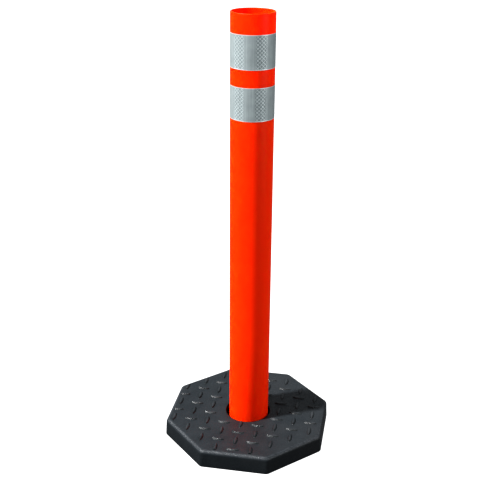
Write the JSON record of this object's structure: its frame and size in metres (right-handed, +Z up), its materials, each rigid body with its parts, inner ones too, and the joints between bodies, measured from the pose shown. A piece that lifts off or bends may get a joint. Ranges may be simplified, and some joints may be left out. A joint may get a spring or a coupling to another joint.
{
  "type": "delineator post",
  "caption": "Portable tubular traffic delineator: open-topped plastic tube with reflective bands, held upright by an octagonal rubber base that drops over it onto a foot flange.",
  "frame": {"origin": "on the ground, at the centre of the octagonal base", "axes": "+Z up along the post; the base's flats face +X, -X, +Y and -Y"},
  "size_m": [0.4062, 0.4062, 1.076],
  "materials": {
    "orange_tube": "satin, fluorescent orange",
    "black_plastic": "moulded, matt",
    "aluminium": "satin",
    "steel": "zinc plated",
    "reflective_sheeting": "silver-white prismatic sheeting",
    "base_rubber": "moulded recycled rubber"
  },
  "bodies": {
    "post": {"post_tube": "orange_tube", "foot_collar": "black_plastic", "rivet_bodies": "aluminium", "rivet_mandrels": "steel", "backing_washers": "steel", "upper_reflective_band": "reflective_sheeting", "lower_reflective_band": "reflective_sheeting"},
    "base": {"rubber_base": "base_rubber"}
  },
  "joints": [
    {"name": "base_lift", "type": "slide", "parent": "post", "child": "base", "axis": [0, 0, 1], "range_m": [0, 1.1]}
  ]
}
